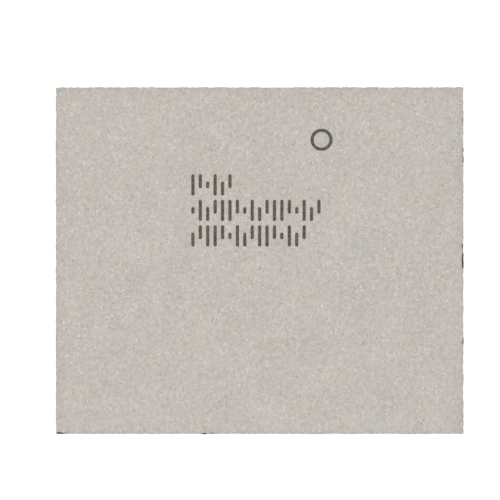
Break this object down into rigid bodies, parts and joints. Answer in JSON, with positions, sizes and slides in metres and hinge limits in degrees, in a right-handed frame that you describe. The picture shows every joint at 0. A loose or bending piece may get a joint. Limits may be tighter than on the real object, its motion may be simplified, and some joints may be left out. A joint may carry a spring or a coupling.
{
  "type": "wireless land-grid module",
  "caption": "Flat overmoulded wireless module with a conformal metal shield coat on top and sides and solder-coated lands on a green underside.",
  "frame": {"origin": "middle of the package outline, on the seating plane under the solder of the lands", "axes": "+X along the long side, to the right with the marks upright; +Y towards the edge with the ring mark; +Z out of the marked face"},
  "size_m": [0.0112, 0.0096, 0.0012],
  "materials": {
    "shield": "fine matte grain, faint warm and cool mottling",
    "mould": "matte, filled epoxy",
    "green_mask": "satin solder mask",
    "laminate": "cut glass and resin laminate",
    "ring_copper": "satin copper foil",
    "copper": "satin copper foil",
    "solder": "satin solder",
    "land_solder": "bright tinned rims, duller middles",
    "underfill": "dark amber epoxy",
    "silicon": "ground silicon",
    "white_ceramic": "matte fired ceramic",
    "lid_metal": "plated lid",
    "quartz": "lapped quartz",
    "adhesive": "silver-filled adhesive",
    "ferrite": "pressed metal powder",
    "capacitor_ceramic": "matte brown ceramic",
    "resistor_black": "glaze over ceramic",
    "terminal_tin": "matte tin",
    "module_black": "matte moulded package",
    "filter_grey": "matte ceramic cap"
  },
  "bodies": {
    "root": {"band_filter_a": "filter_grey", "band_filter_b": "filter_grey", "bottom_row_lands": "copper", "bottom_row_solder": "land_solder", "bulk_capacitor_terminals": "terminal_tin", "bulk_capacitors": "capacitor_ceramic", "centre_ground_lands": "copper", "centre_ground_solder": "land_solder", "crystal_adhesive": "adhesive", "crystal_blank": "quartz", "crystal_lid": "lid_metal", "crystal_tray": "white_ceramic", "diplexer_a": "white_ceramic", "diplexer_b": "white_ceramic", "edge_ground_ring": "ring_copper", "front_end_2g_a": "module_black", "front_end_2g_b": "module_black", "front_end_5g_a": "module_black", "front_end_5g_b": "module_black", "laminate": "laminate", "left_column_lands": "copper", "left_column_solder": "land_solder", "lower_solder_mask": "green_mask", "matching_inductor_terminals": "terminal_tin", "matching_inductors": "white_ceramic", "mould_body": "mould", "power_inductor_terminals": "terminal_tin", "power_inductors": "ferrite", "radio_die": "silicon", "radio_die_bumps": "solder", "radio_die_underfill": "underfill", "resistor_terminals": "terminal_tin", "resistors": "resistor_black", "right_column_lands": "copper", "right_column_solder": "land_solder", "shield_coat": "shield", "small_capacitor_terminals": "terminal_tin", "small_capacitors": "capacitor_ceramic", "solder_joints": "solder", "top_row_lands": "copper", "top_row_solder": "land_solder", "upper_pads": "copper", "upper_solder_mask": "green_mask"}
  },
  "joints": []
}
